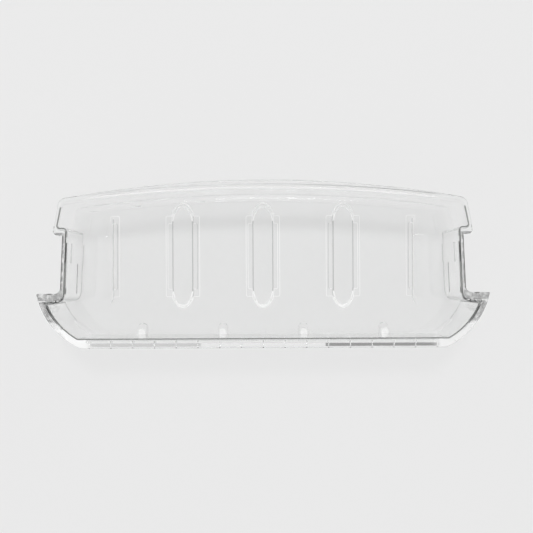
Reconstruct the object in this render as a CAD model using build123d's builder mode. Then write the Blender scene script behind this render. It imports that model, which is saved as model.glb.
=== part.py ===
from build123d import *
import os
from math import asin, cos, degrees, hypot, sin, sqrt

os.makedirs("parts", exist_ok=True)

# Refrigerator door bin: one clear injection moulding, sizes in millimetres.
# X runs along the bin, +Y points to the bowed wall, +Z is up.

# Shell
height = 93.0
floor = 3.0
wall = 2.5

# Inside plan along X: half width between the necks, and how far the rest steps from it
neck_half = 179.4
neck_flare = 3.0
wing_reach = 15.6
toe_setback = 28.0
ear_reach = 8.85
ear_lean = 4.6

# Inside plan along Y, from the straight wall to the crest of the bowed wall
wing_depth = 32.5
neck_length = 69.2
ear_depth = 21.6
bow_rise = 13.3
diagonal_radius = 64.0

# Rim: how far it stands out from the wall on each side, and its section
rim_straight = 6.7
rim_diagonal = 4.8
rim_wing = 6.3
rim_neck = 1.7
rim_ear = 4.8
rim_end = 0.9
rim_bow = 6.0
rim_bow_end = 2.3
rim_drop = 8.0
rim_plate = 2.2
rim_skirt = 1.4
rim_bevel = 3.0
rim_edge = 0.8

# Fine bead on the inner edge of the rim, all round apart from the bow
bead_width = 1.2
bead_rise = 0.5

# Corner radii of the inside plan, and the bevel of the outer base
toe_round = 1.5
tip_round = 1.2
root_round = 8.0
crook_round = 3.5
ear_round = 1.8
corner_round = 5.8
base_edge = 1.0

# Soft cove at the foot of the bow and of the ears, and how far its arc runs into floor and wall
cove_radius = 5.5
cove_lap = 0.1

# Raised panel on the inside of each neck, beside the door's lug, with a tall pad and a low band on it
panel_rise = 0.8
panel_gap = 13.8
lug_pad_length = 18.5
lug_pad_height = 66.0
lug_pad_rise = 0.7
lug_band_base = 8.0
lug_band_height = 22.0
lug_band_rise = 0.4

# Gussets under the rim of the straight wall
rib_pitch = 20.0
rib_thick = 0.9
rib_lift = 1.5
rib_drop = 18.0

# Oval floor pads in two steps, and the wider flank pads that they run through
pad_end_gap = 19.4
pad_half = 11.6
pad_nose = 18.0
pad_straight_gap = 24.4
pad_bow_gap = 6.2
pad_side_step = 1.2
pad_end_step = 3.5
pad_rise = 1.05
pad_slope = 1.0
flank_half = 17.0
flank_straight_gap = 36.4
flank_bow_gap = 19.2
flank_side_step = 2.0
flank_end_step = 7.5
flank_rise = 0.5
flank_slope = 0.48
flank_round = 1.8
end_pad_fade = 22.0

# Low bottle stops at the foot of the straight wall
stop_half = 5.4
stop_reach = 11.3
stop_height = 13.0
stop_top_half = 4.0
stop_top_reach = 4.9
stop_round = 2.2

# Positions across the plan
depth = rim_straight + wall + wing_depth + neck_length + ear_depth + bow_rise + wall + rim_bow
y_straight = rim_straight + wall - depth / 2
y_wing = y_straight + wing_depth
y_ear = y_wing + neck_length
y_corner = y_ear + ear_depth
y_bow = y_corner + bow_rise
wing_half = neck_half + neck_flare + wing_reach
toe_half = wing_half - toe_setback
ear_half = neck_half + ear_reach
end_half = ear_half - ear_lean
rim_top = height - bead_rise

# Centre of the curved diagonal, found from its two inside ends
chord = hypot(toe_setback, wing_depth)
apothem = sqrt(diagonal_radius**2 - chord**2 / 4)
diagonal_x = (toe_half + wing_half) / 2 - apothem * wing_depth / chord
diagonal_y = (y_straight + y_wing) / 2 + apothem * toe_setback / chord

# Circle of the bow, found from its ends and its crest
bow_radius = (end_half**2 + bow_rise**2) / (2 * bow_rise)
bow_centre = y_bow - bow_radius
bow_span = asin((ear_half + wall) / bow_radius)

# Places of the floor pads and bottle stops
pad_pitch = (neck_half - pad_end_gap) / 2
pad_low = y_straight + pad_straight_gap
pad_high = y_bow - pad_bow_gap
flank_low = y_straight + flank_straight_gap
flank_high = y_bow - flank_bow_gap
strip_half = (flank_half - pad_half) / 2 + flank_side_step
stop_places = [step * pad_pitch / 2 for step in (-3, -1, 1, 3)]

# Places of the panels on the necks
panel_low = y_wing + root_round
panel_high = y_ear - panel_gap
lug_pad_low = panel_high - lug_pad_length


def diagonal_at(y, grow):
    """X of the curved diagonal, grown outward, at one place along Y."""
    return diagonal_x + sqrt((diagonal_radius + grow) ** 2 - (y - diagonal_y) ** 2)


def neck_at(y):
    """X of the neck's inside face at one place along Y."""
    return neck_half + neck_flare * (y_ear - y) / neck_length


def plan_points(straight, diagonal, wing, neck, ear, end, bow_end):
    """Corners of the right half of the plan, each side grown outward by its own amount."""
    low = y_straight - straight
    shelf = y_wing + wing
    hook = y_ear - ear
    return {
        "toe": (diagonal_at(low, diagonal), low),
        "tip": (diagonal_at(shelf, diagonal), shelf),
        "root": (neck_at(shelf) + neck, shelf),
        "crook": (neck_at(hook) + neck, hook),
        "ear": (ear_half + end + ear_lean * ear / ear_depth, hook),
        "corner": (end_half + end, y_corner + bow_end),
    }


def plan_face(points, diagonal, crest, grow):
    """Plan through the corners, mirrored about the middle of the bin, with its corners rounded."""
    toe, tip, corner = points["toe"], points["tip"], points["corner"]
    middle = (toe[1] + tip[1]) / 2
    belly = (diagonal_at(middle, diagonal), middle)
    chain = [points[key] for key in ("tip", "root", "crook", "ear", "corner")]
    rounds = {
        "toe": toe_round + grow,
        "tip": tip_round,
        "root": root_round - grow,
        "crook": crook_round - grow,
        "ear": ear_round + grow,
        "corner": corner_round + grow,
    }
    with BuildSketch() as face:
        with BuildLine():
            Line((-toe[0], toe[1]), toe)
            for side in (1, -1):
                ThreePointArc((side * toe[0], toe[1]), (side * belly[0], belly[1]), (side * tip[0], tip[1]))
                Polyline(*[(side * x, y) for x, y in chain])
            ThreePointArc((-corner[0], corner[1]), (0, crest), corner)
        make_face()
        for key, radius in rounds.items():
            x, y = points[key]
            fillet([v for v in face.vertices() if hypot(abs(v.X) - x, v.Y - y) < wall / 9], radius)
    return face.sketch


def even_plan(grow):
    """Plan with every side grown outward by the same amount."""
    return plan_face(plan_points(*[grow] * 7), grow, y_bow + grow, grow)


def channel_plan(inset):
    """Plan of the hollow under the rim, with its outer sides moved in from those of the rim."""
    diagonal = wall + rim_diagonal - inset
    points = plan_points(wall + rim_straight - inset, diagonal, *[wall / 2] * 5)
    return plan_face(points, diagonal, y_bow + wall + rim_bow - inset, wall / 2)


def oval_lines(x, half, low, high):
    """Outline of an oval pad: two sides joined by half ellipses."""
    Line((x - half, low + pad_nose), (x - half, high - pad_nose))
    EllipticalCenterArc((x, high - pad_nose), half, pad_nose, 0, arc_size=180)
    Line((x + half, high - pad_nose), (x + half, low + pad_nose))
    EllipticalCenterArc((x, low + pad_nose), half, pad_nose, 180, arc_size=180)


def stop_lines(half, reach):
    """Outline of a bottle stop: two sides that start inside the straight wall, and a round end."""
    back = y_straight - wall / 2
    crown = y_straight + reach - half
    CenterArc((0, crown), half, 0, 180)
    Polyline((-half, crown), (-half, back), (half, back), (half, crown))


def cove_lines(face):
    """Outline of the corner between floor and wall that a cove fills, with the wall's face at one X."""
    wall_side = face + cove_lap
    floor_side = floor - cove_lap
    CenterArc((wall_side - cove_radius, floor_side + cove_radius), cove_radius, -90, 90)
    Polyline(
        (wall_side, floor_side + cove_radius),
        (wall_side, floor_side),
        (wall_side - cove_radius, floor_side),
    )


inside = even_plan(0)
outside = even_plan(wall)
bead = even_plan(bead_width)
rim = plan_face(
    plan_points(
        wall + rim_straight,
        wall + rim_diagonal,
        wall + rim_wing,
        wall + rim_neck,
        wall + rim_ear,
        wall + rim_end,
        wall + rim_bow_end,
    ),
    wall + rim_diagonal,
    y_bow + wall + rim_bow,
    wall,
)
channel = channel_plan(rim_skirt)
roof = channel_plan(rim_skirt + rim_bevel)

# Cove along the bow, turned about the centre of its circle
with BuildPart() as bow_cove:
    bow_plane = Plane(
        (0, bow_centre, 0),
        x_dir=(sin(bow_span), cos(bow_span), 0),
        z_dir=(cos(bow_span), -sin(bow_span), 0),
    )
    with BuildSketch(bow_plane):
        with BuildLine():
            cove_lines(bow_radius)
        make_face()
    revolve(axis=Axis((0, bow_centre, 0), (0, 0, 1)), revolution_arc=degrees(2 * bow_span))

# Cove along the leaning end of the right ear
with BuildPart() as end_cove:
    end_plane = Plane(
        (end_half, y_corner, 0),
        x_dir=(ear_depth, ear_lean, 0),
        z_dir=(ear_lean, -ear_depth, 0),
    )
    with BuildSketch(end_plane.offset(-bow_rise)):
        with BuildLine():
            cove_lines(0)
        make_face()
    extrude(amount=bow_rise + hypot(ear_lean, ear_depth) + wall / 2)

# Space inside the bin
with BuildPart() as hollow:
    with BuildSketch(Plane.XY.offset(floor)):
        add(inside)
    extrude(amount=height)
    add(bow_cove.part, mode=Mode.SUBTRACT)
    add(end_cove.part, mode=Mode.SUBTRACT)
    add(mirror(end_cove.part, about=Plane.YZ, mode=Mode.PRIVATE), mode=Mode.SUBTRACT)

# Half pad at the end of the floor: a ramp cut to a quarter of the oval, which fades out towards the bow
with BuildPart() as end_pad:
    x_end = 2 * pad_pitch
    x_edge = x_end - pad_half
    with BuildSketch(Plane.XZ.offset(-flank_high)):
        with BuildLine():
            Polyline(
                (x_edge, floor / 2),
                (x_edge, floor),
                (x_edge + pad_slope, floor + pad_rise),
                (x_end, floor),
                (x_end, floor / 2),
                close=True,
            )
        make_face()
    extrude(amount=flank_high - pad_low)
    with BuildSketch(Plane.XY):
        with BuildLine():
            EllipticalCenterArc((x_end, pad_low + pad_nose), pad_half, pad_nose, 180, arc_size=90)
            Polyline(
                (x_end, pad_low),
                (x_end, flank_high),
                (x_edge, flank_high),
                (x_edge, pad_low + pad_nose),
            )
        make_face()
    extrude(amount=height, mode=Mode.INTERSECT)
    with BuildSketch(Plane.YZ):
        with BuildLine():
            Polyline(
                (flank_high, floor),
                (flank_high - end_pad_fade, floor + pad_rise),
                (flank_high - end_pad_fade, height),
                (flank_high + end_pad_fade, height),
                (flank_high + end_pad_fade, floor),
                close=True,
            )
        make_face()
    extrude(amount=neck_half, mode=Mode.SUBTRACT)

# Bottle stop at the middle of the straight wall, with a rounded brow
with BuildPart() as bottle_stop:
    for level, half, reach in (
        (floor / 2, stop_half, stop_reach),
        (floor + stop_height, stop_top_half, stop_top_reach),
    ):
        with BuildSketch(Plane.XY.offset(level)):
            with BuildLine():
                stop_lines(half, reach)
            make_face()
    loft()
    brow = bottle_stop.faces().sort_by(Axis.Z)[-1].edges().sort_by(Axis.Y)[1:]
    fillet(brow, stop_round)

# Bin
with BuildPart() as door_bin:
    # Rim with a bevelled outer edge, hollow underneath up to a bevelled roof
    with BuildSketch(Plane.XY.offset(height - rim_drop)):
        add(rim)
    extrude(amount=rim_top - height + rim_drop)
    chamfer(door_bin.faces().sort_by(Axis.Z)[-1].edges(), rim_edge)
    with BuildSketch(Plane.XY.offset(height - rim_drop)):
        add(channel)
    extrude(amount=rim_drop - rim_plate - rim_bevel, mode=Mode.SUBTRACT)
    for level, face in ((height - rim_plate - rim_bevel, channel), (height - rim_plate, roof)):
        with BuildSketch(Plane.XY.offset(level)):
            add(face)
    loft(mode=Mode.SUBTRACT)

    # Walls and floor
    with BuildSketch(Plane.XY):
        add(outside)
    extrude(amount=rim_top)
    chamfer(door_bin.faces().sort_by(Axis.Z)[0].edges(), base_edge)
    add(hollow.part, mode=Mode.SUBTRACT)

    # Bead on the rim, up to the rounded corners of the bow
    with BuildSketch(Plane.XY.offset(height - rim_plate)):
        add(bead)
        add(inside, mode=Mode.SUBTRACT)
        with Locations((0, y_corner - corner_round / 2)):
            Rectangle(2 * wing_half, depth, align=(Align.CENTER, Align.MIN), mode=Mode.SUBTRACT)
    extrude(amount=rim_plate)

    # Raised panels on the necks, each with its pad and band
    for low, high, base, top, rise in (
        (panel_low, panel_high, floor / 2, rim_top, panel_rise),
        (lug_pad_low, panel_high, floor / 2, floor + lug_pad_height, panel_rise + lug_pad_rise),
        (
            panel_low,
            lug_pad_low,
            floor + lug_band_base,
            floor + lug_band_base + lug_band_height,
            panel_rise + lug_band_rise,
        ),
    ):
        with BuildSketch(Plane.XY.offset(base)):
            for side in (1, -1):
                with BuildLine():
                    Polyline(
                        (side * (neck_at(low) - rise), low),
                        (side * (neck_at(high) - rise), high),
                        (side * (neck_at(high) + wall / 2), high),
                        (side * (neck_at(low) + wall / 2), low),
                        close=True,
                    )
                make_face()
        extrude(amount=top - base)

    # Gussets between the straight wall and the skirt of its rim, deepest at the wall
    rib_count = int(toe_half / rib_pitch)
    rib_planes = [Plane.YZ.offset(step * rib_pitch) for step in range(-rib_count, rib_count + 1)]
    with BuildSketch(*rib_planes):
        with BuildLine():
            Polyline(
                (y_straight - wall / 2, height - rib_drop),
                (y_straight - wall / 2, height - rim_plate / 2),
                (y_straight - wall - rim_straight + rim_skirt / 2, height - rim_plate / 2),
                (y_straight - wall - rim_straight + rim_skirt / 2, height - rim_drop + rib_lift),
                (y_straight - wall, height - rib_drop),
                close=True,
            )
        make_face()
    extrude(amount=rib_thick / 2, both=True)

    # Wide flank pads in two steps, with a strip of one beside each end pad
    strip_x = 2 * pad_pitch - flank_half + strip_half
    flanks = [(step * pad_pitch, flank_half) for step in (-1, 0, 1)]
    flanks += [(-strip_x, strip_half), (strip_x, strip_half)]
    for x, half in flanks:
        for level in (0, 1):
            for edge in (0, 1):
                with BuildSketch(Plane.XY.offset(floor + (level + edge) * flank_rise)):
                    with Locations((x, (flank_low + flank_high) / 2)):
                        RectangleRounded(
                            2 * (half - level * flank_side_step - edge * flank_slope),
                            flank_high - flank_low - 2 * (level * flank_end_step + edge * flank_slope),
                            flank_round - edge * flank_slope,
                        )
            loft()

    # Oval pads in two steps
    for step in (-1, 0, 1):
        for level in (0, 1):
            for edge in (0, 1):
                inset_x = level * pad_side_step + edge * pad_slope
                inset_y = level * pad_end_step + edge * pad_slope
                with BuildSketch(Plane.XY.offset(floor + (level + edge) * pad_rise)):
                    with BuildLine():
                        oval_lines(step * pad_pitch, pad_half - inset_x, pad_low + inset_y, pad_high - inset_y)
                    make_face()
            loft()
    add(end_pad.part)
    add(mirror(end_pad.part, about=Plane.YZ, mode=Mode.PRIVATE))

    # Bottle stops
    with Locations(*[(x, 0, 0) for x in stop_places]):
        add(bottle_stop.part)

door_bin.part.label = "door_bin"
export_step(door_bin.part, "parts/door_bin.step")
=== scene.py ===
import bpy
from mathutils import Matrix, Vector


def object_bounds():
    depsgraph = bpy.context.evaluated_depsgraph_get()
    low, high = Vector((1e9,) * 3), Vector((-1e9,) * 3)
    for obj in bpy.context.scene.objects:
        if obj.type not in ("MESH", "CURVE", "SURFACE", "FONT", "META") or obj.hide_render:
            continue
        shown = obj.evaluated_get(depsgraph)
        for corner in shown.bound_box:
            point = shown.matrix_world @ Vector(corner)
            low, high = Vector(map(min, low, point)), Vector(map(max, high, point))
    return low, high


bl_info = {
    "name": "Clear door bin",
    "version": (1, 0, 0),
    "blender": (4, 5, 0),
    "location": "View3D > Sidebar > Door bin",
    "description": "Gives the moulded door bin its clear plastic and sets it on a pale table",
    "category": "Object",
}

import math

import bpy
from mathutils import Vector

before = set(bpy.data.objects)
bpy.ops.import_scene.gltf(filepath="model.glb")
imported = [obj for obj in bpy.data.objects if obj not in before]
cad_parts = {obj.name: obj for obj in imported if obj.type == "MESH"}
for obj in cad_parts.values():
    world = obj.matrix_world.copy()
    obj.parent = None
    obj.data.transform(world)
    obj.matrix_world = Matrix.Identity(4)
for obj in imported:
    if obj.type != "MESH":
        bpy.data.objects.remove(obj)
cad_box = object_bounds()

# Side of the image in pixels
IMAGE_SIDE = 533

# Soft edges of the marks, from sharp to slow, in metres
SHARP = 0.0002
NEAT = 0.0003
CRISP = 0.0004
CLOSE = 0.0006
PLAIN = 0.001
MILD = 0.002
GENTLE = 0.003
WIDE = 0.004
BROAD = 0.01
SLOW = 0.012
LONG = 0.018

# Painted shade and highlights on the rim: places along or across the bin in metres, limits of noise and
# shares
RIM_SKIN = 0.0006
PANEL_SIDE = 0.17
PANEL_SPAN = (-0.0285, 0.0215)
DIAGONAL_TOP = -0.0345
SHADE_GRAIN = (0.2, 0.6)
BOW_END = 0.168
FOLD_SPAN = (-0.0053, -0.0037)
FOLD_LEFT = 0.35
FOLD_RIGHT = 0.75
FOLD_CHANGE = (-0.05, 0.09)
EDGE_SPAN = (-0.0024, -0.0002)
EDGE_SHARE = 0.3
SHINE_SIDE = 0.152
SHINE_RUB = (0.38, 0.5)
SHINE_CHANGE = (0.6, -0.2)
SHINE_SHARE = 0.75
SCUFF_RUB = (0.55, 0.8)
SHADE_START = 0.02

# Painted highlights and shade lines on the floor pads and stops, with tilts as the upward share of the
# surface's normal
COVE_REACH = 0.0032
SLOPE_START = (0.3, 0.4)
SLOPE_END = (0.80, 0.78)
NEAR_FLAT = (0.8, 0.9)
FLAT = (0.9, 0.95)
OFF_LEVEL = (0.99, 0.95)
STEEP_SIDE = (0.5, 0.6)
OVAL_SPAN = (-0.027, 0.045)
FLANK_SPAN = (-0.033, 0.051)
END_SIDE = 0.11
SEAM_SIDES = (0.1487, 0.1501)
SEAM_SPAN = (-0.026, 0.047)
SEAM_SHARE = 0.6
NOSE_LOW = -0.031
NOSE_HIGH = 0.049
LOW_NOSE_FADE = 0.3
HIGH_NOSE_FADE = 0.6
TREAD_LOW = -0.033
TREAD_SHARE = 0.45
BROW_FOOT = 0.0022
BROW_FULL = 0.0015
BROW_SHARE = 0.5

# Scale and detail of the plastic's noises, and how rough the surfaces are
FLOW_NOISE = (26.0, 3.0)
RUB_NOISE = (60.0, 6.0)
GRAIN_NOISE = (220.0, 4.0)
RIPPLE_STRENGTH = 0.6
PAINTED_ROUGHNESS = 0.5
TABLE_ROUGHNESS = 0.7

# Faint clouds of the table, and how far up the room's light changes
CLOUD_SCALE = 3.0
CLOUD_DETAIL = 2.0
CLOUD_SHADE = 0.985
SKY_RISE = 0.8


# Shader nodes


class Value:
    """A node's output socket that can be used in a Python expression."""

    def __init__(self, tree, socket):
        self.tree = tree
        self.socket = socket

    def _math(self, operation, *values):
        return self.tree.node("ShaderNodeMath", {"operation": operation}, dict(enumerate(values)))

    def __add__(self, other):
        return self._math("ADD", self, other)

    __radd__ = __add__

    def __sub__(self, other):
        return self._math("SUBTRACT", self, other)

    def __rsub__(self, other):
        return self._math("SUBTRACT", other, self)

    def __mul__(self, other):
        return self._math("MULTIPLY", self, other)

    __rmul__ = __mul__

    def __abs__(self):
        return self._math("ABSOLUTE", self)

    def between(self, start, end):
        """Mask that rises smoothly from 0 at one value to 1 at the other."""
        return self.tree.node(
            "ShaderNodeMapRange",
            {"interpolation_type": "SMOOTHSTEP"},
            {"Value": self, "From Min": start, "From Max": end},
        )

    def above(self, place, soft):
        """Mask of what lies above a place, with a soft edge."""
        return self.between(place, place + soft)

    def below(self, place, soft):
        """Mask of what lies below a place, with a soft edge."""
        return self.between(place, place - soft)

    def inside(self, span, soft):
        """Mask of what lies between the ends of a span, with soft edges."""
        return self.above(span[0], soft) * self.below(span[1], soft)


class Tree:
    """A material's or world's node tree, built one node at a time."""

    def __init__(self, owner):
        owner.use_nodes = True
        self.tree = owner.node_tree
        self.tree.nodes.clear()

    def node(self, kind, settings=None, sockets=None, output=0):
        """Adds a node, sets its settings first, then its sockets, and returns one output."""
        made = self.tree.nodes.new(kind)
        for key, value in (settings or {}).items():
            setattr(made, key, value)
        for key, value in (sockets or {}).items():
            socket = made.inputs[key]
            if isinstance(value, Value):
                self.tree.links.new(value.socket, socket)
            else:
                socket.default_value = value
        return Value(self, made.outputs[output]) if made.outputs else None

    def split(self, vector):
        """X, Y and Z of a vector."""
        first = self.node("ShaderNodeSeparateXYZ", None, {0: vector})
        return [Value(self, socket) for socket in first.socket.node.outputs]

    def blend(self, share, start, end):
        """Colour between two others."""
        return self.node("ShaderNodeMix", {"data_type": "RGBA"}, {0: share, 6: start, 7: end}, output=2)


# Sizes and colours that a user would change


class ClearPlastic(bpy.types.PropertyGroup):
    """Finish of the moulded bin."""

    colour: bpy.props.FloatVectorProperty(
        name="Colour",
        description="Tint of the clear plastic",
        subtype="COLOR",
        size=3,
        default=(0.968, 0.972, 0.970),
    )
    depth_colour: bpy.props.FloatVectorProperty(
        name="Depth colour",
        description="Colour that light takes on its way through thick plastic",
        subtype="COLOR",
        size=3,
        default=(0.30, 0.33, 0.32),
    )
    depth_density: bpy.props.FloatProperty(
        name="Depth density",
        description="How fast thick plastic darkens, per metre",
        default=1.5,
    )
    refraction: bpy.props.FloatProperty(
        name="Refraction",
        description="Refractive index of the plastic",
        default=1.58,
    )
    polish: bpy.props.FloatProperty(
        name="Polish roughness",
        description="Roughness where the mould was polished",
        subtype="FACTOR",
        default=0.015,
    )
    scuff: bpy.props.FloatProperty(
        name="Scuff roughness",
        description="Roughness added by rubbed patches",
        subtype="FACTOR",
        default=0.06,
    )
    ripple: bpy.props.FloatProperty(
        name="Ripple",
        description="Height of the flow ripples left by moulding",
        subtype="DISTANCE",
        unit="LENGTH",
        default=0.00001,
    )
    rim_shade: bpy.props.FloatProperty(
        name="Rim shade",
        description="Share of light that each face of the bowed rim keeps from going straight through",
        subtype="FACTOR",
        default=0.10,
    )
    lamp_pass: bpy.props.FloatProperty(
        name="Lamp light passed",
        description="Share of lamp light that goes through each face to what is behind",
        subtype="FACTOR",
        default=0.972,
    )


class MouldedMarks(bpy.types.PropertyGroup):
    """Places on the bin where the plastic looks different, and the colours of the light and shade painted
    there.
    """

    # Painted shade: colour of the dark lines on the rim's bead and on the top of the neck's panel, where the
    # rim's top shows shade
    painted_bead_shade: bpy.props.FloatVectorProperty(
        name="Bead colour",
        description="Tint of the fine bead on the rim's inner edge",
        subtype="COLOR",
        size=3,
        default=(0.12, 0.125, 0.12),
    )
    bead_rise: bpy.props.FloatProperty(
        name="Bead rise",
        description="How far the bead stands above the rim",
        subtype="DISTANCE",
        unit="LENGTH",
        default=0.0005,
    )
    rim_foot: bpy.props.FloatProperty(
        name="Rim foot",
        description="Height of the rim's lower edge",
        subtype="DISTANCE",
        unit="LENGTH",
        default=0.085,
    )
    # Painted shade: colour and place of the dark band on the rim over the door's lugs, along the upper
    # diagonals and on the bow's fold line
    painted_rim_shade: bpy.props.FloatVectorProperty(
        name="Wear colour",
        description="Tint of the worn rim over the door's lugs",
        subtype="COLOR",
        size=3,
        default=(0.22, 0.22, 0.22),
    )
    shade_band_side: bpy.props.FloatProperty(
        name="Wear side",
        description="Distance from the middle at which the worn rim starts",
        subtype="DISTANCE",
        unit="LENGTH",
        default=0.1826,
    )
    shade_band_low: bpy.props.FloatProperty(
        name="Wear low",
        description="Place across the bin where the worn rim starts",
        subtype="DISTANCE",
        unit="LENGTH",
        default=-0.0335,
    )
    shade_band_end: bpy.props.FloatProperty(
        name="Wear end",
        description="Place across the bin where the worn rim of the diagonal fades out",
        subtype="DISTANCE",
        unit="LENGTH",
        default=-0.0545,
    )
    shade_band_high: bpy.props.FloatProperty(
        name="Wear high",
        description="Place across the bin where the worn rim ends",
        subtype="DISTANCE",
        unit="LENGTH",
        default=0.0292,
    )
    neck_side: bpy.props.FloatProperty(
        name="Neck side",
        description="Distance from the middle of the neck's inside face",
        subtype="DISTANCE",
        unit="LENGTH",
        default=0.18086,
    )
    neck_lean: bpy.props.FloatProperty(
        name="Neck lean",
        description="How much the neck narrows towards the bow, per length",
        default=0.0434,
    )
    floor_top: bpy.props.FloatProperty(
        name="Floor top",
        description="Height of the floor inside the bin",
        subtype="DISTANCE",
        unit="LENGTH",
        default=0.003,
    )
    pad_top: bpy.props.FloatProperty(
        name="Pad top",
        description="Height of the floor pads above the floor",
        subtype="DISTANCE",
        unit="LENGTH",
        default=0.0021,
    )
    pad_reach: bpy.props.FloatProperty(
        name="Pad reach",
        description="Distance from the middle within which the floor pads lie",
        subtype="DISTANCE",
        unit="LENGTH",
        default=0.176,
    )
    # Painted light and shade: strength and colours of the white and grey matt marks on the rim's edges, the
    # floor pads' edges and the stops' brows
    painted_light_and_shade: bpy.props.FloatProperty(
        name="Frost",
        description="How white the frosted edges and the bright lines are",
        subtype="FACTOR",
        default=1.0,
    )
    painted_light_colour: bpy.props.FloatVectorProperty(
        name="Frost colour",
        description="Colour of the sloping edges of the floor pads",
        subtype="COLOR",
        size=3,
        default=(0.98, 0.98, 0.98),
    )
    # Painted shade: grey of the lines on the steep sides and seams of the floor pads
    shade_colour: bpy.props.FloatVectorProperty(
        name="Shade colour",
        description="Colour of the steep sides of the floor pads",
        subtype="COLOR",
        size=3,
        default=(0.50, 0.50, 0.50),
    )
    bow_crest: bpy.props.FloatProperty(
        name="Bow crest",
        description="Place across the bin of the bowed wall's inside face",
        subtype="DISTANCE",
        unit="LENGTH",
        default=0.06865,
    )
    bow_bend: bpy.props.FloatProperty(
        name="Bow bend",
        description="Half the curvature of the bowed wall, per metre",
        default=0.375,
    )
    bow_top: bpy.props.FloatProperty(
        name="Bow top",
        description="Height of the underside of the bow's rim plate",
        subtype="DISTANCE",
        unit="LENGTH",
        default=0.0914,
    )
    bow_side: bpy.props.FloatProperty(
        name="Bow side",
        description="Place across the bin where the thinner walls of the bow begin",
        subtype="DISTANCE",
        unit="LENGTH",
        default=0.032,
    )
    stop_side: bpy.props.FloatProperty(
        name="Stop side",
        description="Place across the bin where the bottle stops begin",
        subtype="DISTANCE",
        unit="LENGTH",
        default=-0.0565,
    )
    stop_top: bpy.props.FloatProperty(
        name="Stop top",
        description="Height of the bottle stops",
        subtype="DISTANCE",
        unit="LENGTH",
        default=0.016,
    )
    soft_body: bpy.props.FloatProperty(
        name="Soft body",
        description="How much body the bow's walls and the bottle stops show",
        subtype="FACTOR",
        default=0.22,
    )


class TableStage(bpy.types.PropertyGroup):
    """Table, light and camera."""

    table: bpy.props.FloatVectorProperty(
        name="Table",
        description="Colour of the table",
        subtype="COLOR",
        size=3,
        default=(0.80, 0.80, 0.80),
    )
    table_side: bpy.props.FloatProperty(
        name="Table side",
        description="Length of the table's side",
        subtype="DISTANCE",
        unit="LENGTH",
        default=8.0,
    )
    table_gap: bpy.props.FloatProperty(
        name="Table gap",
        description="Film of air between the table and the bin's underside",
        subtype="DISTANCE",
        unit="LENGTH",
        default=0.0005,
    )
    fill: bpy.props.FloatProperty(
        name="Fill strength",
        description="Strength of the even light of the room on the table",
        default=0.392,
    )
    sky: bpy.props.FloatProperty(
        name="Overhead strength",
        description="Brightness of the room overhead, as the plastic shows it",
        default=0.72,
    )
    horizon: bpy.props.FloatProperty(
        name="Horizon strength",
        description="Brightness of the room near the horizon, as the plastic shows it",
        default=0.56,
    )
    backdrop: bpy.props.FloatProperty(
        name="Backdrop strength",
        description="Brightness of the room behind the table, as the camera sees it",
        default=0.82,
    )
    lamp_strength: bpy.props.FloatProperty(
        name="Lamp strength",
        description="Strength of the distant lamp behind the bowed wall, in watts per square metre",
        default=2.07,
    )
    lamp_spread: bpy.props.FloatProperty(
        name="Lamp spread",
        description="How wide the lamp looks from the bin, as an angle",
        subtype="ANGLE",
        unit="ROTATION",
        default=math.radians(8.6),
    )
    lamp_elevation: bpy.props.FloatProperty(
        name="Lamp elevation",
        description="Height of the lamp above the table, as an angle",
        subtype="ANGLE",
        unit="ROTATION",
        default=math.radians(71.5),
    )
    card_place: bpy.props.FloatProperty(
        name="Card place",
        description="Place across the bin of the cards that the straight rim shows",
        subtype="DISTANCE",
        unit="LENGTH",
        default=-0.55,
    )
    card_height: bpy.props.FloatProperty(
        name="Card height",
        description="Height of the cards",
        subtype="DISTANCE",
        unit="LENGTH",
        default=0.15,
    )
    card_ends: bpy.props.FloatVectorProperty(
        name="Card ends",
        description="Ends of the dull, pale and dark cards along the bin, from left to right",
        subtype="TRANSLATION",
        unit="LENGTH",
        size=4,
        default=(-0.26, -0.085, 0.085, 0.24),
    )
    card_glow: bpy.props.FloatVectorProperty(
        name="Card glow",
        description="Brightness of the dull, pale and dark cards",
        size=3,
        default=(0.62, 0.85, 0.30),
    )
    camera_height: bpy.props.FloatProperty(
        name="Camera height",
        description="Height of the camera above the table",
        subtype="DISTANCE",
        unit="LENGTH",
        default=1.066,
    )
    camera_y: bpy.props.FloatProperty(
        name="Camera place",
        description="Place of the camera across the bin",
        subtype="DISTANCE",
        unit="LENGTH",
        default=-0.01305,
    )
    lens: bpy.props.FloatProperty(
        name="Lens",
        description="Focal length of the camera in millimetres",
        default=71.8,
    )
    roll: bpy.props.FloatProperty(
        name="Camera roll",
        description="Turn of the camera about its line of sight",
        subtype="ANGLE",
        unit="ROTATION",
        default=math.radians(-0.25),
    )
    foot_pixel: bpy.props.FloatVectorProperty(
        name="Foot pixel",
        description="Pixel of the image that lies straight under the camera",
        size=2,
        default=(263.0, 278.0),
    )


# Materials


class Spot:
    """Where a point of the bin's surface lies and which way it faces."""

    def __init__(self, tree, marks):
        self.place = tree.node("ShaderNodeTexCoord", output=3)
        self.along, self.across, self.level = tree.split(self.place)
        self.side = abs(self.along)
        facing = tree.node("ShaderNodeNewGeometry", output=3)
        self.face_x, _, face_z = tree.split(facing)
        self.tilt = abs(face_z)
        self.bow_gap = marks.bow_crest - self.across - self.along * self.along * marks.bow_bend
        self.neck_gap = self.side + self.across * marks.neck_lean

    def noise(self, tree, scale, detail):
        """Noise that lies still on the surface."""
        return tree.node("ShaderNodeTexNoise", None, {"Vector": self.place, "Scale": scale, "Detail": detail})


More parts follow.
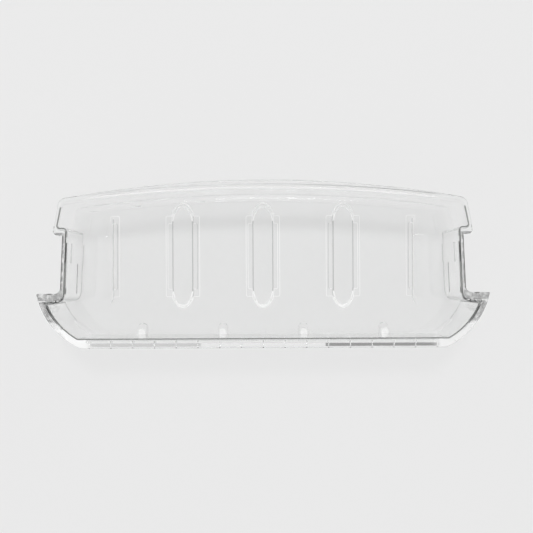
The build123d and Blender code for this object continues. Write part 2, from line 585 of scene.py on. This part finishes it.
def rim_marks(spot, marks, rub, grain):
    """Masks of the painted dark lines, the painted shade band and the painted highlights on the rim's top."""
    rim_top = cad_box[1][2] - marks.bead_rise
    on_rim = spot.level.above(rim_top - RIM_SKIN, SHARP)
    on_bead = spot.level.above(rim_top + marks.bead_rise / 4, marks.bead_rise / 4)
    bare = on_rim * (1.0 - on_bead)

    # Painted shade: dark top of the neck's panel
    on_panel = on_rim * spot.neck_gap.below(marks.neck_side, SHARP) * spot.side.above(PANEL_SIDE, MILD)
    on_panel = on_panel * spot.across.inside(PANEL_SPAN, PLAIN)

    # Painted shade band over the door's lugs and along the upper diagonals
    on_neck = spot.neck_gap.above(marks.shade_band_side, CRISP)
    on_neck = on_neck * spot.across.inside((marks.shade_band_low, marks.shade_band_high), NEAT)
    on_diagonal = spot.across.above(marks.shade_band_end, GENTLE) * spot.across.below(DIAGONAL_TOP, NEAT)
    painted_shade = bare * (on_neck + on_diagonal) * grain.between(*SHADE_GRAIN)

    # Painted shade along the bowed rim's fold line, stronger to the right; painted highlights on its inner
    # edge and on the lower diagonals, stronger on the left
    on_bow = on_rim * spot.side.below(BOW_END, LONG)
    on_fold = on_bow * spot.bow_gap.inside(FOLD_SPAN, CLOSE)
    on_fold = on_fold * (FOLD_LEFT + (FOLD_RIGHT - FOLD_LEFT) * spot.along.between(*FOLD_CHANGE))
    on_edge = on_bow * spot.bow_gap.inside(EDGE_SPAN, CLOSE)
    on_shine = bare * spot.across.below(marks.shade_band_end + PLAIN, MILD) * spot.side.above(SHINE_SIDE, SLOW)
    on_shine = on_shine * rub.between(*SHINE_RUB) * spot.along.between(*SHINE_CHANGE)
    return on_bead + on_panel, painted_shade + on_fold, EDGE_SHARE * on_edge + SHINE_SHARE * on_shine


def pad_marks(spot, marks):
    """Masks of the painted highlights on the floor pads' edges, and of the painted shade lines among them."""
    pad_top = marks.floor_top + marks.pad_top
    pad_step = marks.floor_top + marks.pad_top / 2
    flank_step = marks.floor_top + marks.pad_top / 4
    low = spot.level.below(pad_top + SHARP, SHARP)
    on_pad = low * spot.side.below(marks.pad_reach, MILD) * spot.bow_gap.above(COVE_REACH, CRISP)
    on_slope = on_pad * spot.tilt.between(*SLOPE_START) * spot.tilt.between(*SLOPE_END)

    # Painted shade lines on the steep sides of the ovals, and on steps of the flanks and end pads that face
    # the middle
    on_oval = abs(spot.face_x).between(*STEEP_SIDE) * spot.level.above(pad_step - SHARP / 2, SHARP)
    on_oval = low * on_oval * spot.across.inside(OVAL_SPAN, MILD)
    on_flank = spot.across.inside(FLANK_SPAN, MILD) * spot.level.below(pad_step, SHARP / 2)
    inward = (spot.along * spot.face_x).below(0.0, BROAD)
    inward = inward * spot.level.above(flank_step - SHARP / 2, SHARP)
    inward = inward * (on_flank + spot.side.above(END_SIDE, BROAD)) * (1.0 - on_oval) * on_slope

    # Painted shade line on the seam between the end strips and the end pads
    on_seam = on_pad * spot.level.above(marks.floor_top + SHARP, SHARP) * spot.tilt.between(*NEAR_FLAT)
    on_seam = on_seam * spot.side.inside(SEAM_SIDES, CRISP) * spot.across.inside(SEAM_SPAN, MILD)

    # Painted highlights on the noses of the ovals, with the flat of the step between their two edges
    on_tread = on_pad * spot.tilt.between(*FLAT) * spot.across.below(TREAD_LOW, GENTLE)
    on_tread = on_tread * spot.level.inside((pad_step - NEAT, pad_step + NEAT), SHARP)
    kept = 1.0 - LOW_NOSE_FADE * spot.across.below(NOSE_LOW, GENTLE)
    kept = kept - HIGH_NOSE_FADE * spot.across.above(NOSE_HIGH, WIDE)
    return on_slope * kept + SEAM_SHARE * on_seam + TREAD_SHARE * on_tread, on_oval + inward + on_seam


def wall_marks(spot, marks):
    """Masks of the thin walls and stops that show little body, and of the painted highlights on the stops'
    brows.
    """
    on_bow = spot.across.above(marks.bow_side, WIDE) * spot.level.below(marks.bow_top, PLAIN / 2)
    on_stop = spot.across.below(marks.stop_side + PLAIN, PLAIN)
    on_stop = on_stop * spot.level.below(marks.stop_top + PLAIN, PLAIN)
    on_brow = on_stop * spot.level.between(marks.stop_top - BROW_FOOT, marks.stop_top - BROW_FULL)
    on_brow = on_brow * spot.tilt.between(*SLOPE_START)
    return spot.tilt.between(*OFF_LEVEL) * (on_bow + on_stop), BROW_SHARE * on_brow


def clear_plastic(look, marks):
    """Clear moulded styrene with flow ripples; painted highlights and shade lines on the pad edges, the stops
    and the rim; a painted dark line on the bead; a painted shade band on the rim.
    """
    material = bpy.data.materials.new("clear_styrene")
    tree = Tree(material)
    spot = Spot(tree, marks)
    flow = spot.noise(tree, *FLOW_NOISE)
    rub = spot.noise(tree, *RUB_NOISE)
    grain = spot.noise(tree, *GRAIN_NOISE)
    dark, painted_shade, rim_highlight = rim_marks(spot, marks, rub, grain)
    pad_light_and_shade, pad_shade_lines = pad_marks(spot, marks)
    soft, brow_highlight = wall_marks(spot, marks)

    # Painted shade: the bead's dark lines and the neck panel's dark top are mixed into the plastic's tint
    tint = tree.blend(dark, (*look.colour, 1.0), (*marks.painted_bead_shade, 1.0))
    waves = {"Strength": RIPPLE_STRENGTH, "Distance": look.ripple, "Height": flow}
    plastic = tree.node(
        "ShaderNodeBsdfPrincipled",
        None,
        {
            # Painted shade band on the rim, over the tint
            "Base Color": tree.blend(painted_shade, tint, (*marks.painted_rim_shade, 1.0)),
            "Roughness": look.polish + look.scuff * rub.between(*SCUFF_RUB),
            "IOR": look.refraction,
            "Transmission Weight": 1.0,
            "Alpha": 1.0 - (1.0 - marks.soft_body) * soft,
            "Normal": tree.node("ShaderNodeBump", None, waves),
        },
    )
    # Painted light and shade: white or grey matt layer for the bright and dark lines, with its normal turned
    # straight up so it takes the full light
    painted_light_and_shade = tree.node(
        "ShaderNodeBsdfPrincipled",
        None,
        {
            "Base Color": tree.blend(pad_shade_lines, (*marks.painted_light_colour, 1.0), (*marks.shade_colour, 1.0)),
            "Roughness": PAINTED_ROUGHNESS,
            "Normal": tree.node("ShaderNodeCombineXYZ", None, {2: 1.0}),
        },
    )
    # Share of the painted light and shade on the rim, the pads and the stops
    white = marks.painted_light_and_shade * (rim_highlight + pad_light_and_shade + brow_highlight)
    body = tree.node("ShaderNodeMixShader", None, {0: white, 1: plastic, 2: painted_light_and_shade})

    # Light on its way to the table goes straight through, with a little loss at each face
    passed = tree.node("ShaderNodeBsdfTransparent", None, {"Color": (*[look.lamp_pass] * 3, 1.0)})
    lamp_ray = tree.node("ShaderNodeLightPath", output=1)
    table_ray = tree.node("ShaderNodeLightPath", output=2)
    straight = tree.node("ShaderNodeMath", {"operation": "MAXIMUM"}, {0: lamp_ray, 1: table_ray})
    on_shade = spot.level.above(marks.rim_foot - PLAIN, PLAIN) * spot.across.above(SHADE_START, BROAD)
    share = straight * (1.0 - look.rim_shade * on_shade)
    surface = tree.node("ShaderNodeMixShader", None, {0: share, 1: body, 2: passed})
    depth = {"Color": (*look.depth_colour, 1.0), "Density": look.depth_density}
    haze = tree.node("ShaderNodeVolumeAbsorption", None, depth)
    tree.node("ShaderNodeOutputMaterial", None, {"Surface": surface, "Volume": haze})
    return material


def table_paint(look):
    """Pale matt table with a faint unevenness."""
    material = bpy.data.materials.new("pale_table")
    tree = Tree(material)
    place = tree.node("ShaderNodeTexCoord", output=3)
    clouds = {"Vector": place, "Scale": CLOUD_SCALE, "Detail": CLOUD_DETAIL}
    cloud = tree.node("ShaderNodeTexNoise", None, clouds)
    shaded = [channel * CLOUD_SHADE for channel in look.table]
    colour = tree.blend(cloud, (*shaded, 1.0), (*look.table, 1.0))
    paint = tree.node("ShaderNodeBsdfPrincipled", None, {"Base Color": colour, "Roughness": TABLE_ROUGHNESS})
    tree.node("ShaderNodeOutputMaterial", None, {"Surface": paint})
    return material


def card_light(name, glow):
    """Even light of a card that the plastic shows."""
    material = bpy.data.materials.new(name)
    tree = Tree(material)
    light = tree.node("ShaderNodeEmission", None, {"Strength": glow})
    tree.node("ShaderNodeOutputMaterial", None, {"Surface": light})
    return material


# Operators


class DOORBIN_OT_clear_shell(bpy.types.Operator):
    """Gives the moulded bin its clear plastic"""

    bl_idname = "doorbin.clear_shell"
    bl_label = "Clear shell"

    def execute(self, context):
        bin_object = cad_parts["door_bin"]
        material = clear_plastic(context.scene.clear_plastic, context.scene.moulded_marks)
        bin_object.data.materials.clear()
        bin_object.data.materials.append(material)
        return {"FINISHED"}


class DOORBIN_OT_stage(bpy.types.Operator):
    """Sets the table, the light and the camera"""

    bl_idname = "doorbin.stage"
    bl_label = "Stage"

    def execute(self, context):
        look = context.scene.table_stage
        self.add_table(context, look)
        self.add_room(context, look)
        self.add_lamp(context, look)
        self.add_cards(context, look)
        self.add_camera(context, look)
        context.scene.view_settings.view_transform = "Standard"
        return {"FINISHED"}

    def add_table(self, context, look):
        """Pale table under the bin."""
        half = look.table_side / 2
        mesh = bpy.data.meshes.new("table")
        corners = [(x * half, y * half, -look.table_gap) for x, y in ((-1, -1), (1, -1), (1, 1), (-1, 1))]
        mesh.from_pydata(corners, [], [(0, 1, 2, 3)])
        mesh.materials.append(table_paint(look))
        table = bpy.data.objects.new("table", mesh)
        context.collection.objects.link(table)

    def add_room(self, context, look):
        """Room that the table, the plastic and the camera see in three strengths."""
        world = bpy.data.worlds.new("room")
        context.scene.world = world
        tree = Tree(world)
        place = tree.node("ShaderNodeTexCoord", output=0)
        up = tree.node("ShaderNodeSeparateXYZ", None, {0: place}, output=2)
        seen = look.horizon + up.between(0.0, SKY_RISE) * (look.sky - look.horizon)
        glossy = tree.node("ShaderNodeLightPath", output=3)
        through = tree.node("ShaderNodeLightPath", output=6)
        shown = tree.node("ShaderNodeMath", {"operation": "MAXIMUM"}, {0: glossy, 1: through})
        level = look.fill + shown * (seen - look.fill)
        camera = tree.node("ShaderNodeLightPath", output=0)
        strength = level + camera * (look.backdrop - level)
        glow = tree.node("ShaderNodeBackground", None, {"Color": (1.0, 1.0, 1.0, 1.0), "Strength": strength})
        tree.node("ShaderNodeOutputWorld", None, {"Surface": glow})

    def add_lamp(self, context, look):
        """Distant lamp behind the bowed wall."""
        lamp = bpy.data.lights.new("lamp", "SUN")
        lamp.energy = look.lamp_strength
        lamp.angle = look.lamp_spread
        holder = bpy.data.objects.new("lamp", lamp)
        reach = Vector((0, math.cos(look.lamp_elevation), math.sin(look.lamp_elevation)))
        holder.location = reach
        holder.rotation_euler = reach.to_track_quat("Z", "Y").to_euler()
        context.collection.objects.link(holder)

    def add_cards(self, context, look):
        """Three cards in front of the straight wall, seen through the plastic alone."""
        names = ("dull_card", "pale_card", "dark_card")
        for name, left, right, glow in zip(names, look.card_ends, look.card_ends[1:], look.card_glow):
            mesh = bpy.data.meshes.new(name)
            low, high = -look.table_gap, look.card_height
            outline = ((left, low), (left, high), (right, high), (right, low))
            corners = [(x, look.card_place, z) for x, z in outline]
            mesh.from_pydata(corners, [], [(0, 1, 2, 3)])
            mesh.materials.append(card_light(name, glow))
            card = bpy.data.objects.new(name, mesh)
            card.visible_camera = False
            card.visible_diffuse = False
            card.visible_glossy = False
            card.visible_shadow = False
            context.collection.objects.link(card)

    def add_camera(self, context, look):
        """Camera that looks straight down, shifted to the image's frame."""
        camera = bpy.data.cameras.new("camera")
        camera.lens = look.lens
        camera.shift_x = (IMAGE_SIDE / 2 - look.foot_pixel[0]) / IMAGE_SIDE
        camera.shift_y = (look.foot_pixel[1] - IMAGE_SIDE / 2) / IMAGE_SIDE
        holder = bpy.data.objects.new("camera", camera)
        holder.location = (0, look.camera_y, look.camera_height)
        holder.rotation_euler = (0, 0, look.roll)
        context.collection.objects.link(holder)
        context.scene.camera = holder


class DOORBIN_PT_sidebar(bpy.types.Panel):
    """Lists the door bin's steps"""

    bl_idname = "DOORBIN_PT_sidebar"
    bl_label = "Door bin"
    bl_space_type = "VIEW_3D"
    bl_region_type = "UI"
    bl_category = "Door bin"

    def draw(self, context):
        for step in STEPS:
            self.layout.operator(step.bl_idname)


GROUPS = {"clear_plastic": ClearPlastic, "moulded_marks": MouldedMarks, "table_stage": TableStage}
STEPS = (DOORBIN_OT_clear_shell, DOORBIN_OT_stage)


def register():
    """Registers the settings, steps and panel."""
    for name, group in GROUPS.items():
        bpy.utils.register_class(group)
        setattr(bpy.types.Scene, name, bpy.props.PointerProperty(type=group))
    for kind in (*STEPS, DOORBIN_PT_sidebar):
        bpy.utils.register_class(kind)


def unregister():
    """Removes what register added."""
    for kind in (DOORBIN_PT_sidebar, *STEPS):
        bpy.utils.unregister_class(kind)
    for name, group in GROUPS.items():
        delattr(bpy.types.Scene, name)
        bpy.utils.unregister_class(group)


def main():
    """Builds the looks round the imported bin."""
    register()
    bpy.ops.doorbin.clear_shell()
    bpy.ops.doorbin.stage()


if __name__ == "__main__":
    main()
